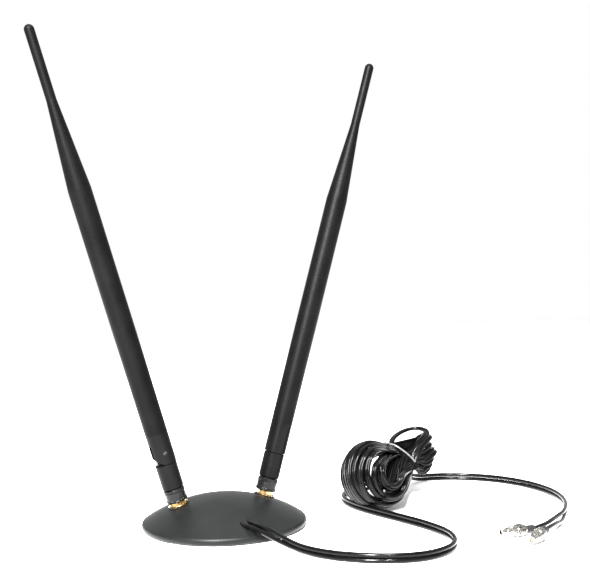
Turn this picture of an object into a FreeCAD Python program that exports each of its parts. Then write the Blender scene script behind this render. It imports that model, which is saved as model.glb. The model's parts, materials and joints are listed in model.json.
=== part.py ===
import FreeCAD, Part
import math
import os
import re

import Sketcher
from FreeCAD import Placement, Rotation, Vector

# Desk antenna: a weighted, domed round base carries two tilt-and-swivel whips on threaded
# coaxial jacks, and a twin lead leaves the dome for two small push-on plugs.
# Millimetres. Origin: middle of the base's underside. +X runs along the line of the two jacks,
# -Y is the side where the lead leaves, +Z is up.

# Driving dimensions: alias, value, meaning.
DIMENSIONS = [
    ("base_rad", 50.0, "base, outer radius"),
    ("base_rise", 18.9, "base, height of the dome's crown"),
    ("rim_round", 2.4, "radius of the rounded rim"),
    ("rim_level", 2.7, "height of the rim's widest line"),
    ("dome_sphere", 91.39275362, "radius of the dome's sphere, tangent to the rim's round"),
    ("shell_wall", 2.2, "dome wall"),
    ("shell_bore", 46.2, "inner radius of the shell at its mouth"),
    ("pad_rad", 45.9, "foot pad, radius"),
    ("pad_thick", 0.9, "foot pad, thickness"),
    ("plate_rad", 45.7, "ballast plate, radius"),
    ("plate_top", 2.5, "height of the ballast plate's upper face"),
    ("magnet_rad", 17.0, "ring magnet, outer radius"),
    ("magnet_bore", 6.5, "ring magnet, inner radius"),
    ("magnet_top", 6.5, "height of the magnet's upper face"),
    ("boss_rad", 2.4, "screw boss, radius"),
    ("boss_ring", 32.0, "circle of the screw bosses, radius"),
    ("boss_top", 11.9, "height where the bosses end inside the dome wall"),
    ("screw_rad", 1.25, "cover screw, shank radius"),
    ("screw_head", 2.35, "cover screw, head radius"),
    ("screw_deep", 9.0, "height of the cover screw's point"),
    ("screw_first", 75.0, "direction of the first boss, degrees from +X"),
    ("jack_side", 27.7, "jack axis from the middle of the base, along X"),
    ("jack_back", 3.5, "jack axis behind the middle of the base"),
    ("jack_foot", 14.53, "height where the jack axis meets the dome"),
    ("jack_lean", 16.6, "outward lean of both jacks, degrees"),
    ("seat_rad", 6.6, "raised flat under the jack washer, radius"),
    ("seat_top", 0.3, "top of the raised flat, along the jack axis"),
    ("seat_low", -1.5, "bottom of the raised flat, inside the dome wall"),
    ("spot_rad", 5.4, "spot face inside the dome, radius"),
    ("spot_level", -2.0, "spot face inside the dome, along the jack axis"),
    ("thread_rad", 3.175, "jack thread, outer radius (1/4 inch thread)"),
    ("jack_hole", 3.25, "hole in the dome for the jack, radius"),
    ("jack_end", 9.0, "end face of the jack, along its axis"),
    ("jack_flange", 4.6, "jack flange inside the dome, radius"),
    ("jack_rear", 3.4, "jack's solder cup, radius"),
    ("jack_low", -8.6, "rear end of the jack's solder cup"),
    ("cup_entry", -6.4, "level where the inner lead enters the cup"),
    ("mate_bore", 2.35, "jack mouth, radius"),
    ("mate_level", 6.6, "bottom of the jack mouth"),
    ("core_rad", 2.0, "insulators, radius"),
    ("contact_rad", 0.6, "jack contact, radius"),
    ("probe_rad", 0.46, "plug pin, radius"),
    ("probe_hole", 0.5, "hole in the jack contact, radius"),
    ("washer_rad", 6.0, "jack washer, outer radius"),
    ("washer_top", 1.0, "top of the jack washer"),
    ("nut_flats", 8.0, "jack nut, across flats"),
    ("nut_top", 2.75, "top of the jack nut"),
    ("coupling_low", 2.9, "lower end of the coupling nut"),
    ("coupling_top", 11.2, "upper end of the coupling nut"),
    ("coupling_rad", 6.6, "coupling nut, radius"),
    ("coupling_thread", 3.23, "coupling nut, thread radius"),
    ("coupling_room", 4.05, "coupling nut, radius of its room for the plug flange"),
    ("coupling_neck", 3.0, "coupling nut, radius of its neck hole"),
    ("coupling_step", 10.1, "ceiling of the coupling nut's room"),
    ("nose_rad", 2.3, "plug nose, radius"),
    ("nose_low", 6.8, "lower end of the plug nose"),
    ("flange_low", 9.05, "lower face of the plug flange"),
    ("flange_rad", 3.9, "plug flange, radius"),
    ("flange_top", 10.0, "upper face of the plug flange"),
    ("neck_rad", 2.9, "plug neck, radius"),
    ("neck_top", 18.0, "upper end of the plug neck"),
    ("collar_low", 11.4, "lower end of the swivel collar"),
    ("collar_rad", 6.5, "swivel collar, radius"),
    ("pin_level", 33.9, "elbow pin, along the jack axis"),
    ("collar_gap", 7.0, "collar's upper face below the elbow pin"),
    ("land_rad", 5.7, "raised land on the collar's upper face, radius"),
    ("land_high", 0.25, "raised land, height"),
    ("tongue_rad", 5.2, "elbow tongue, rounding about the pin"),
    ("tongue_room", 0.15, "room between the tongue and the knuckle's closed side"),
    ("tongue_thick", 4.8, "elbow tongue, thickness"),
    ("slot_wide", 5.1, "slot in the knuckle"),
    ("slot_over", 5.6, "end of the slot above the elbow pin"),
    ("heel_rad", 6.6, "knuckle's rounding about the elbow pin"),
    ("pin_rad", 1.2, "elbow pin, radius"),
    ("pin_half", 6.45, "elbow pin, half length"),
    ("pin_room", 1.25, "elbow pin hole in the tongue, radius"),
    ("whip_rad", 6.75, "whip body and knuckle, radius"),
    ("seam_level", 45.9, "joint between the knuckle and the whip sleeve"),
    ("spigot_rad", 4.5, "knuckle spigot inside the sleeve, radius"),
    ("spigot_top", 55.9, "top of the knuckle spigot"),
    ("feed_rad", 1.6, "feed hole through the knuckle, radius"),
    ("taper_low", 195.4, "start of the whip's taper"),
    ("taper_top", 248.4, "end of the whip's taper"),
    ("tip_rad", 2.95, "whip's slim end, radius"),
    ("tip_level", 292.4, "whip's tip, along the jack axis"),
    ("sleeve_bore", 3.4, "room for the radiator in the whip body, radius"),
    ("slim_bore", 1.5, "room for the radiator in the slim end, radius"),
    ("rod_rad", 0.8, "radiator rod, radius"),
    ("choke_rad", 2.5, "radiator tubes, radius"),
    ("cord_rad", 1.3, "one lead of the twin cord, radius"),
    ("cord_hole", 1.45, "lead hole in the dome, radius"),
    ("hank_rad", 22.5, "hank's front lobe, radius"),
    ("hank_back", 15.0, "hank's back lobe, radius"),
    ("hank_waist", 12.0, "hank's waist, radius"),
    ("hank_span", 58.0, "distance between the middles of the hank's lobes"),
    ("hank_rise", 3.5, "rise of the back lobe above the front lobe"),
    ("hank_turn", 30.0, "direction of the hank's axis, degrees from +X"),
    ("tie_rad", 0.6, "wire tie, radius"),
    ("plug_rad", 3.5, "push-on plug, largest radius"),
    ("plug_long", 16.0, "push-on plug, metal length"),
    ("boot_long", 6.5, "plug boot, length"),
    ("boot_rad", 2.15, "plug boot, radius"),
]
VALUES = {alias: value for alias, value, meaning in DIMENSIONS}

doc = FreeCAD.newDocument("desk_antenna")
sheet = doc.addObject("Spreadsheet::Sheet", "Dims")
for row, (alias, value, meaning) in enumerate(DIMENSIONS, start=1):
    sheet.set(f"A{row}", alias)
    sheet.set(f"B{row}", str(value))
    sheet.set(f"C{row}", meaning)
    sheet.setAlias(f"B{row}", alias)
doc.recompute()

NODES = []
SIDES = {"left": -1, "right": 1}


def bound(text):
    """An expression in aliases, written for the document: 'pin_level + 1' becomes 'Dims.pin_level + 1'."""
    return re.sub(r"[a-z]\w+", lambda word: "Dims." + word.group(0) if word.group(0) in VALUES else word.group(0), text)


def amount(text):
    """The value of an expression in aliases, worked out by the sheet."""
    return float(sheet.evalExpression(bound(text)))


def keep(feature, label):
    """Counts a finished object as a sub-part under its own label."""
    feature.Label = label
    NODES.append(feature)
    return feature


# ---------------------------------------------------------------- sketches and features

def new_body(label):
    return doc.addObject("PartDesign::Body", label)


def new_sketch(body, plane):
    sketch = body.newObject("Sketcher::SketchObject", body.Name + "_sketch")
    support = [f for f in body.Origin.OriginFeatures if f.Role == plane][0]
    sketch.AttachmentSupport = [(support, "")]
    sketch.MapMode = "FlatFace"
    return sketch


def drive(sketch, constraint, text):
    """Adds a constraint whose size is bound to the sheet."""
    index = sketch.addConstraint(constraint)
    sketch.setExpression(f"Constraints[{index}]", bound(text))


def arc_between(start, end, radius, turn):
    """The arc from start to end, and whether it runs anticlockwise. turn is +1 when the centre is on its left."""
    chord = end.sub(start)
    half = chord.Length / 2
    across = Vector(-chord.y, chord.x, 0).normalize()
    centre = start.add(end).multiply(0.5).add(across.multiply(turn * math.sqrt(max(radius**2 - half**2, 0))))
    first, last = (start, end) if turn > 0 else (end, start)
    angles = [math.atan2(p.y - centre.y, p.x - centre.x) for p in (first, last)]
    return Part.ArcOfCircle(Part.Circle(centre, Vector(0, 0, 1), radius), *angles)


def outline(sketch, corners, arcs=None, centred=()):
    """A closed outline through corners, each a pair of expressions. arcs gives the edges that are round:
    {edge: (radius, turn)}, with turn +1 when the centre is on the left of the way from corner to corner.
    centred lists the arcs whose centre is held on the axis, so that they turn into true spheres."""
    arcs = arcs or {}
    base = sketch.GeometryCount
    points = [Vector(amount(x), amount(y), 0) for x, y in corners]
    ends = []
    for i, start in enumerate(points):
        end = points[(i + 1) % len(points)]
        if i in arcs:
            radius, turn = arcs[i]
            sketch.addGeometry(arc_between(start, end, amount(radius), turn), False)
            ends.append((1, 2) if turn > 0 else (2, 1))
        else:
            sketch.addGeometry(Part.LineSegment(start, end), False)
            ends.append((1, 2))
    for i, (x, y) in enumerate(corners):
        after = (i + 1) % len(corners)
        sketch.addConstraint(Sketcher.Constraint("Coincident", base + i, ends[i][1], base + after, ends[after][0]))
        start_x = Sketcher.Constraint("DistanceX", -1, 1, base + i, ends[i][0], points[i].x)
        start_y = Sketcher.Constraint("DistanceY", -1, 1, base + i, ends[i][0], points[i].y)
        drive(sketch, start_x, x)
        drive(sketch, start_y, y)
    for i, (radius, turn) in arcs.items():
        if i in centred:
            sketch.addConstraint(Sketcher.Constraint("PointOnObject", base + i, 3, -2))
        else:
            drive(sketch, Sketcher.Constraint("Radius", base + i, amount(radius)), radius)
    return sketch


def ring(sketch, x, y, radius):
    """A circle whose centre and radius are bound to the sheet."""
    index = sketch.GeometryCount
    centre = Vector(amount(x), amount(y), 0)
    sketch.addGeometry(Part.Circle(centre, Vector(0, 0, 1), amount(radius)), False)
    drive(sketch, Sketcher.Constraint("DistanceX", -1, 1, index, 3, centre.x), x)
    drive(sketch, Sketcher.Constraint("DistanceY", -1, 1, index, 3, centre.y), y)
    drive(sketch, Sketcher.Constraint("Radius", index, amount(radius)), radius)
    return sketch


def sweep_round(body, corners, arcs=None, centred=(), kind="PartDesign::Revolution"):
    """Turns an outline of (radius, height) corners about the body's Z axis."""
    sketch = outline(new_sketch(body, "XZ_Plane"), corners, arcs, centred)
    feature = body.newObject(kind, body.Name + "_turned")
    feature.Profile = sketch
    feature.ReferenceAxis = (sketch, ["V_Axis"])
    feature.Angle = 360
    return feature


def push(body, sketch, kind, length=None):
    """Pads or pockets a sketch evenly to both sides: by length, or right through."""
    feature = body.newObject(kind, body.Name + "_push")
    feature.Profile = sketch
    feature.SideType = "Symmetric"
    if length is None:
        feature.Type = "ThroughAll"
    else:
        feature.setExpression("Length", bound(length))
    return feature


def tool_cylinder(body, kind, radius, height, place):
    """A cylinder added to or cut from the body, from place along its own Z."""
    tool = body.newObject(kind, body.Name + "_round")
    tool.setExpression("Radius", bound(radius))
    tool.setExpression("Height", bound(height))
    tool.Placement = place
    return tool


def turned(label, corners, place=Placement(), arcs=None, centred=()):
    """A sub-part that is turned on a lathe: (radius, height) corners about Z."""
    body = new_body(label)
    sweep_round(body, corners, arcs, centred)
    body.Placement = place
    return keep(body, label)


def tube_of(low, high, inner, outer):
    """The outline of a plain ring."""
    return [(inner, low), (outer, low), (outer, high), (inner, high)]


# ---------------------------------------------------------------- places

def jack_place(side, along=0.0, spin=0.0):
    """The frame of one jack: origin where its axis meets the dome, Z along the axis."""
    sign = SIDES[side]
    foot = Vector(sign * amount("jack_side"), amount("jack_back"), amount("jack_foot"))
    lean = Rotation(Vector(0, 1, 0), sign * amount("jack_lean"))
    turn = Rotation(Vector(0, 0, 1), spin)
    return Placement(foot, lean.multiply(turn)).multiply(Placement(Vector(0, 0, along), Rotation()))


# The left elbow folds outwards, in the plane of the jacks; the right one folds to the back.
ELBOW_SPIN = {"left": 0.0, "right": -90.0}


def elbow_place(side):
    return jack_place(side, spin=ELBOW_SPIN[side])


def boss_places():
    """The three screw bosses, evenly round the base."""
    first = amount("screw_first")
    reach = amount("boss_ring")
    angles = [math.radians(first + 120 * i) for i in range(3)]
    return [Vector(reach * math.cos(a), reach * math.sin(a), 0) for a in angles]


# ---------------------------------------------------------------- lead route

# Inner lead of each jack, from the solder cup to the hole in the dome, at the side its plug has.
INNER_ROUTE = {
    "left": [(-25.85, 0.6, 8.15), (-25.2, -11.5, 8.4), (-17, -21.5, 8.6), (-7.3, -29.8, 8.9), (-3.4, -41, 8.95)],
    "right": [(22.95, 3.5, 8.15), (12.6, 2.5, 8.3), (2.5, -4, 8.5), (-3.5, -15.5, 9.1), (-0.85, -27.6, 9.5),
              (0.9, -39.2, 9.75)],
}
# Twin lead from the dome to the hank: down to the table, round an S bend, then into the hank's back.
FRONT_ROUTE = {
    "left": [(-3.4, -41, 8.95), (-0.6, -49, 9), (1.6, -60, 7.9), (6, -70.5, 5.6), (12, -79.5, 2.9), (18.5, -88.5, 1.3)],
    "right": [(0.9, -39.2, 9.75), (2.3, -48.5, 10.05), (3.8, -59.5, 10.3), (7.2, -71, 8.4), (12, -80.5, 5.6),
              (18.5, -88.5, 3.95)],
}
TWIN_FRONT = [(27, -102), (46, -117), (68, -123), (90, -114), (101, -94), (101, -70), (96, -45), (90, -20),
              (87.5, 0), (90, 18), (101, 33)]
TWIN_FRONT_END = [(118, 37, 1.9), (129, 31, 7), (134.5, 17, 16)]
# Twin lead from the hank: out from under its back lobe, round a wide bend, then apart to the plugs.
TWIN_BACK_START = [(146, 25, 17), (157, 40.5, 6.5)]
TWIN_BACK = [(171, 51.5), (188, 49), (205, 38.5), (219, 22), (226.5, 0), (226.5, -24), (220, -47),
             (206.5, -68.5), (189, -86)]
BACK_END = {
    "left": [(174, -99.5, 1.6), (160.5, -109.1, 4.4), (148.9, -115.7, 4.5)],
    "right": [(172.5, -95.5, 3.7), (160, -103, 3.5), (147.3, -107.7, 3.5)],
}
LOW_LEAD = 1.3
HIGH_LEAD = 3.95
LEAD_LEVEL = {"left": LOW_LEAD, "right": HIGH_LEAD}
# Where the twin climbs, the two leads lie side by side only if their heights differ by more.
STEEP = 1.2


def front_route(side):
    """One lead of the twin, from the dome to inside the hank. The left jack's lead runs under the other."""
    level = LEAD_LEVEL[side]
    flat = [(x, y, level) for x, y in TWIN_FRONT]
    rise = [(x, y, z + STEEP * (level - LOW_LEAD)) for x, y, z in TWIN_FRONT_END]
    return FRONT_ROUTE[side] + flat + rise


def back_route(side):
    """One lead of the twin, from inside the hank to its own plug."""
    level = LEAD_LEVEL[side]
    fall = [(x, y, z + STEEP * (level - LOW_LEAD)) for x, y, z in TWIN_BACK_START]
    flat = [(x, y, level) for x, y in TWIN_BACK]
    return fall + flat + BACK_END[side]


def rounded_path(points):
    """Straight runs joined by tangent arcs. Returns the wire and its smallest radius."""
    spots = [Vector(*p) for p in points]
    edges = []
    radii = []
    at = spots[0]
    for before, corner, after in zip(spots, spots[1:], spots[2:]):
        into = corner.sub(before)
        out = after.sub(corner)
        half = into.getAngle(out) / 2
        cut = 0.45 * min(into.Length, out.Length)
        radii.append(cut / math.tan(half))
        start = corner.sub(into.normalize().multiply(cut))
        end = corner.add(out.normalize().multiply(cut))
        centre_way = end.add(start).multiply(0.5).sub(corner)
        depth = radii[-1] * (1 / math.cos(half) - 1)
        middle = corner.add(centre_way.normalize().multiply(depth))
        edges += [Part.LineSegment(at, start).toShape(), Part.Arc(start, middle, end).toShape()]
        at = end
    edges.append(Part.LineSegment(at, spots[-1]).toShape())
    return Part.Wire(edges), min(radii)


def cord(label, points):
    """A round lead along its route, checked against section times length."""
    path, tightest = rounded_path(points)
    radius = amount("cord_rad")
    start = Vector(*points[0])
    section = Part.Wire(Part.Circle(start, Vector(*points[1]).sub(start), radius).toShape())
    feature = doc.addObject("Part::Feature", label)
    feature.Shape = path.makePipeShell([section], True, False)
    feature.Placement = Placement()
    wanted = math.pi * radius**2 * path.Length
    print(f"{label}: length {path.Length:.1f}, smallest radius {tightest:.1f}, "
          f"volume {feature.Shape.Volume:.1f} of {wanted:.1f}")
    return keep(feature, label)


# ---------------------------------------------------------------- base

def lead_hole_place(side):
    """The hole in the dome for one lead: along the last run of the inner lead."""
    before, mouth = [Vector(*p) for p in INNER_ROUTE[side][-2:]]
    return Placement(before, Rotation(Vector(0, 0, 1), mouth.sub(before)))


def base_cover():
    """Domed shell with a rounded rim, two raised flats for the jacks, lead holes and screw bosses."""
    body = new_body("base_cover")
    corners = [
        ("shell_bore", "rim_level - rim_round"),
        ("base_rad - rim_round", "rim_level - rim_round"),
        ("base_rad", "rim_level"),
        ("(base_rad - rim_round) * dome_sphere / (dome_sphere - rim_round)",
         "base_rise - dome_sphere + (rim_level - base_rise + dome_sphere) * dome_sphere / (dome_sphere - rim_round)"),
        ("0", "base_rise"),
        ("0", "base_rise - shell_wall"),
        ("shell_bore", "base_rise - dome_sphere + sqrt((dome_sphere - shell_wall)^2 - shell_bore^2)"),
    ]
    arcs = {1: ("rim_round", 1), 2: ("rim_round", 1), 3: ("dome_sphere", 1), 5: ("dome_sphere - shell_wall", -1)}
    sweep_round(body, corners, arcs, centred=(3, 5))
    for side in SIDES:
        seat = jack_place(side, amount("seat_low"))
        tool_cylinder(body, "PartDesign::AdditiveCylinder", "seat_rad", "seat_top - seat_low", seat)
    for spot in boss_places():
        foot = Placement(spot.add(Vector(0, 0, amount("plate_top"))), Rotation())
        tool_cylinder(body, "PartDesign::AdditiveCylinder", "boss_rad", "boss_top - plate_top", foot)
        tool_cylinder(body, "PartDesign::SubtractiveCylinder", "screw_rad", "screw_deep - plate_top", foot)
    for side in SIDES:
        inside = jack_place(side, amount("jack_low"))
        tool_cylinder(body, "PartDesign::SubtractiveCylinder", "spot_rad", "spot_level - jack_low", inside)
        tool_cylinder(body, "PartDesign::SubtractiveCylinder", "jack_hole", "seat_top - jack_low + 1", inside)
        tool_cylinder(body, "PartDesign::SubtractiveCylinder", "cord_hole", "shell_wall * 10", lead_hole_place(side))
    return keep(body, "base_cover")


def base_plate():
    """Steel ballast plate with three countersunk holes."""
    body = new_body("base_plate")
    sweep_round(body, [("0", "pad_thick"), ("plate_rad", "pad_thick"), ("plate_rad", "plate_top"), ("0", "plate_top")])
    for spot in boss_places():
        foot = spot.add(Vector(0, 0, amount("pad_thick")))
        cone = body.newObject("PartDesign::SubtractiveCone", "countersink")
        cone.setExpression("Radius1", bound("screw_head"))
        cone.setExpression("Radius2", bound("screw_rad"))
        cone.setExpression("Height", bound("screw_head - screw_rad"))
        cone.Placement = Placement(foot, Rotation())
        tool_cylinder(body, "PartDesign::SubtractiveCylinder", "screw_rad", "plate_top", Placement(foot, Rotation()))
    return keep(body, "base_plate")


def cover_screws():
    """Three countersunk screws, from the plate up into the bosses, as one group."""
    parts = []
    for i, spot in enumerate(boss_places()):
        body = new_body(f"screw_{i}")
        sweep_round(body, [
            ("0", "pad_thick"),
            ("screw_head", "pad_thick"),
            ("screw_rad", "pad_thick + screw_head - screw_rad"),
            ("screw_rad", "screw_deep - screw_rad"),
            ("0", "screw_deep"),
        ])
        body.Placement = Placement(spot, Rotation())
        parts.append(body)
    group = doc.addObject("Part::Compound", "cover_screws")
    group.Links = parts
    return keep(group, "cover_screws")


def lead_saddle():
    """Block on the ballast plate with two round grooves that carry the leads to their holes."""
    block = doc.addObject("Part::Box", "saddle_block")
    block.Length = 16
    block.Width = 5
    block.setExpression("Height", bound("cord_rad * 4.2"))
    block.Placement = Placement(Vector(-12, -33.5, amount("plate_top")), Rotation())
    grooves = []
    for side in SIDES:
        groove = doc.addObject("Part::Cylinder", f"{side}_groove")
        groove.setExpression("Radius", bound("cord_rad + 0.03"))
        groove.Height = 40
        way = lead_hole_place(side)
        groove.Placement = way.multiply(Placement(Vector(0, 0, -12), Rotation()))
        grooves.append(groove)
    both = doc.addObject("Part::MultiFuse", "saddle_grooves")
    both.Shapes = grooves
    cut = doc.addObject("Part::Cut", "lead_saddle")
    cut.Base = block
    cut.Tool = both
    return keep(cut, "lead_saddle")


def build_base():
    base_cover()
    base_plate()
    turned("base_pad", [("0", "0"), ("pad_rad", "0"), ("pad_rad", "pad_thick"), ("0", "pad_thick")])
    turned("ring_magnet", tube_of("plate_top", "magnet_top", "magnet_bore", "magnet_rad"))
    cover_screws()
    lead_saddle()


# ---------------------------------------------------------------- jacks

def jack_nut(side):
    """Hexagon nut that clamps the jack to the dome, with chamfered corners."""
    body = new_body(f"{side}_jack_nut")
    sketch = new_sketch(body, "XY_Plane")
    corner = "nut_flats / 2 / cos(30deg)"
    hexagon = [(f"{corner} * cos({60 * i}deg)", f"{corner} * sin({60 * i}deg)") for i in range(6)]
    outline(sketch, hexagon)
    ring(sketch, "0", "0", "thread_rad")
    pad = body.newObject("PartDesign::Pad", "hexagon")
    pad.Profile = sketch
    pad.setExpression("Length", bound("nut_top - washer_top"))
    edge = "nut_flats / 2"
    top = "nut_top - washer_top"
    sweep_round(body, [(edge, top), (f"{edge} + 1", top), (f"{edge} + 1", f"{top} - 0.6")], kind="PartDesign::Groove")
    body.Placement = jack_place(side, amount("washer_top"), spin=15)
    return keep(body, f"{side}_jack_nut")


def build_jack(side):
    place = jack_place(side)
    body = new_body(f"{side}_jack_body")
    sweep_round(body, [
        ("core_rad", "jack_low"),
        ("jack_rear", "jack_low"),
        ("jack_rear", "spot_level - 2"),
        ("jack_flange", "spot_level - 2"),
        ("jack_flange", "spot_level"),
        ("thread_rad", "spot_level"),
        ("thread_rad", "jack_end - 0.4"),
        ("thread_rad - 0.4", "jack_end"),
        ("mate_bore", "jack_end"),
        ("mate_bore", "mate_level"),
        ("core_rad", "mate_level"),
    ])
    # The inner lead enters the solder cup from the side.
    entry = Placement(Vector(0, 0, amount("cup_entry")), Rotation())
    way = Rotation(Vector(0, 0, 1), Vector(0, -1, 0) if side == "left" else Vector(-1, 0, 0))
    tool_cylinder(body, "PartDesign::SubtractiveCylinder", "feed_rad", "jack_rear + 1",
                  entry.multiply(Placement(Vector(), way)))
    body.Placement = place
    keep(body, f"{side}_jack_body")
    turned(f"{side}_jack_insulator", tube_of("spot_level - 2", "mate_level", "contact_rad", "core_rad"), place)
    turned(f"{side}_jack_contact", [
        ("0", "cup_entry - 0.5"),
        ("contact_rad", "cup_entry - 0.5"),
        ("contact_rad", "mate_level"),
        ("probe_hole", "mate_level"),
        ("probe_hole", "mate_level - 3.6"),
        ("0", "mate_level - 3.6"),
    ], place)
    turned(f"{side}_jack_washer", tube_of("seat_top", "washer_top", "thread_rad", "washer_rad"), place)
    jack_nut(side)


# ---------------------------------------------------------------- whips

def coupling_nut(side):
    """Nut that draws the whip's plug onto the jack; it turns on the plug's flange."""
    turned(f"{side}_coupling_nut", [
        ("coupling_thread", "coupling_low"),
        ("coupling_rad - 0.5", "coupling_low"),
        ("coupling_rad", "coupling_low + 0.5"),
        ("coupling_rad", "coupling_top - 0.6"),
        ("coupling_rad - 0.6", "coupling_top"),
        ("coupling_neck", "coupling_top"),
        ("coupling_neck", "coupling_step"),
        ("coupling_room", "coupling_step"),
        ("coupling_room", "flange_low - 0.1"),
        ("coupling_thread", "flange_low - 0.1"),
    ], jack_place(side))


def swivel_collar(side):
    """Collar that turns on the jack axis, with the elbow's tongue on top."""
    body = new_body(f"{side}_swivel_collar")
    shoulder = "pin_level - collar_gap"
    sweep_round(body, [
        ("neck_rad", "collar_low"),
        ("collar_rad - 0.5", "collar_low"),
        ("collar_rad", "collar_low + 0.5"),
        ("collar_rad", f"{shoulder} - 0.3"),
        ("collar_rad - 0.3", shoulder),
        ("land_rad", shoulder),
        ("land_rad", f"{shoulder} + land_high"),
        ("0", f"{shoulder} + land_high"),
        ("0", "neck_top"),
        ("neck_rad", "neck_top"),
    ])
    sketch = new_sketch(body, "XZ_Plane")
    outline(sketch, [
        ("-tongue_rad", f"{shoulder} - 1"),
        ("tongue_rad", f"{shoulder} - 1"),
        ("tongue_rad", "pin_level"),
        ("0", "pin_level + tongue_rad"),
        ("-tongue_rad", "pin_level"),
    ], {2: ("tongue_rad", 1), 3: ("tongue_rad", 1)})
    push(body, sketch, "PartDesign::Pad", "tongue_thick")
    hole = ring(new_sketch(body, "XZ_Plane"), "0", "pin_level", "pin_room")
    push(body, hole, "PartDesign::Pocket")
    body.Placement = elbow_place(side)
    return keep(body, f"{side}_swivel_collar")


def knuckle(side):
    """Lower end of the whip: a slot for the tongue, open below and on the side that it folds to,
    where the end is rounded. A thin wall closes it on the other side."""
    body = new_body(f"{side}_knuckle")
    sweep_round(body, [
        ("0", "pin_level - heel_rad"),
        ("whip_rad", "pin_level - heel_rad"),
        ("whip_rad", "seam_level"),
        ("spigot_rad", "seam_level"),
        ("spigot_rad", "spigot_top"),
        ("feed_rad", "spigot_top"),
        ("feed_rad", "pin_level + slot_over + 1"),
        ("0", "pin_level + slot_over + 1"),
    ])
    slot = body.newObject("PartDesign::SubtractiveBox", "slot")
    slot.setExpression("Length", bound("whip_rad + tongue_rad + tongue_room + 1"))
    slot.setExpression("Width", bound("slot_wide"))
    slot.setExpression("Height", bound("heel_rad + slot_over + 1"))
    corner = (amount("-whip_rad - 1"), amount("-slot_wide / 2"), amount("pin_level - heel_rad - 1"))
    slot.Placement = Placement(Vector(*corner), Rotation())
    heel = new_sketch(body, "XZ_Plane")
    outline(heel, [
        ("0", "pin_level - heel_rad"),
        ("-heel_rad", "pin_level"),
        ("-heel_rad - 2", "pin_level"),
        ("-heel_rad - 2", "pin_level - heel_rad - 2"),
        ("0", "pin_level - heel_rad - 2"),
    ], {0: ("heel_rad", -1)})
    push(body, heel, "PartDesign::Pocket")
    hole = ring(new_sketch(body, "XZ_Plane"), "0", "pin_level", "pin_rad")
    push(body, hole, "PartDesign::Pocket")
    body.Placement = elbow_place(side)
    return keep(body, f"{side}_knuckle")


def elbow_pin(side):
    """Cross pin of the elbow, pressed into the cheeks."""
    body = new_body(f"{side}_elbow_pin")
    sketch = ring(new_sketch(body, "XZ_Plane"), "0", "pin_level", "pin_rad")
    push(body, sketch, "PartDesign::Pad", "pin_half * 2")
    body.Placement = elbow_place(side)
    return keep(body, f"{side}_elbow_pin")


def whip_sleeve(side):
    """Long moulded sleeve: a straight body, a slow taper and a slim end with a round tip."""
    turned(f"{side}_whip_sleeve", [
        ("spigot_rad", "seam_level"),
        ("whip_rad", "seam_level"),
        ("whip_rad", "taper_low"),
        ("tip_rad", "taper_top"),
        ("tip_rad", "tip_level - tip_rad"),
        ("0", "tip_level"),
        ("0", "tip_level - 5"),
        ("slim_bore", "tip_level - 5"),
        ("slim_bore", "taper_top"),
        ("sleeve_bore", "taper_low"),
        ("sleeve_bore", "spigot_top"),
        ("spigot_rad", "spigot_top"),
    ], elbow_place(side), {4: ("tip_rad", 1)}, centred=(4,))


def radiator(side):
    """Brass radiator inside the sleeve: a rod with two wide tubes on it."""
    turned(f"{side}_radiator", [
        ("0", "seam_level"),
        ("rod_rad", "seam_level"),
        ("rod_rad", "spigot_top + 6"),
        ("choke_rad", "spigot_top + 6"),
        ("choke_rad", "spigot_top + 66"),
        ("rod_rad", "spigot_top + 66"),
        ("rod_rad", "spigot_top + 78"),
        ("choke_rad", "spigot_top + 78"),
        ("choke_rad", "taper_low - 8"),
        ("rod_rad", "taper_low - 8"),
        ("rod_rad", "tip_level - 6"),
        ("0", "tip_level - 6"),
    ], elbow_place(side))


def build_whip(side):
    place = jack_place(side)
    coupling_nut(side)
    turned(f"{side}_plug_body", [
        ("core_rad", "nose_low"),
        ("nose_rad", "nose_low"),
        ("nose_rad", "flange_low"),
        ("flange_rad", "flange_low"),
        ("flange_rad", "flange_top"),
        ("neck_rad", "flange_top"),
        ("neck_rad", "neck_top"),
        ("core_rad", "neck_top"),
    ], place)
    turned(f"{side}_plug_insulator", tube_of("nose_low + 0.4", "neck_top", "probe_rad", "core_rad"), place)
    turned(f"{side}_plug_pin", [
        ("0", "mate_level - 3.2"),
        ("probe_rad", "mate_level - 2.8"),
        ("probe_rad", "neck_top"),
        ("0", "neck_top"),
    ], place)
    swivel_collar(side)
    knuckle(side)
    elbow_pin(side)
    whip_sleeve(side)
    radiator(side)


# ---------------------------------------------------------------- lead, hank and plugs

HANK_FRONT = Vector(100.7, -9.7, 0)


def hank_place():
    """The hank's frame: origin in the middle of its front lobe, Z along its length."""
    turn = math.radians(amount("hank_turn"))
    centre = HANK_FRONT.add(Vector(0, 0, amount("hank_rad")))
    way = Vector(math.cos(turn), math.sin(turn), amount("hank_rise / hank_span"))
    return Placement(centre, Rotation(Vector(0, 0, 1), way))


def waist_of_hank():
    """Where the waist is along the hank, and the radius of its hollow: tangent to both lobes."""
    front = amount("hank_rad")
    back = amount("hank_back")
    waist = amount("hank_waist")
    span = amount("hank_span")
    front_gap = front**2 - waist**2
    back_gap = back**2 - waist**2
    ratio = (back - waist) / (front - waist)
    square = 1 - ratio
    half_middle = span
    constant = span**2 - back_gap + ratio * front_gap
    along = (half_middle - math.sqrt(half_middle**2 - square * constant)) / square
    hollow = (along**2 - front_gap) / (2 * (front - waist))
    return along, hollow


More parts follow.
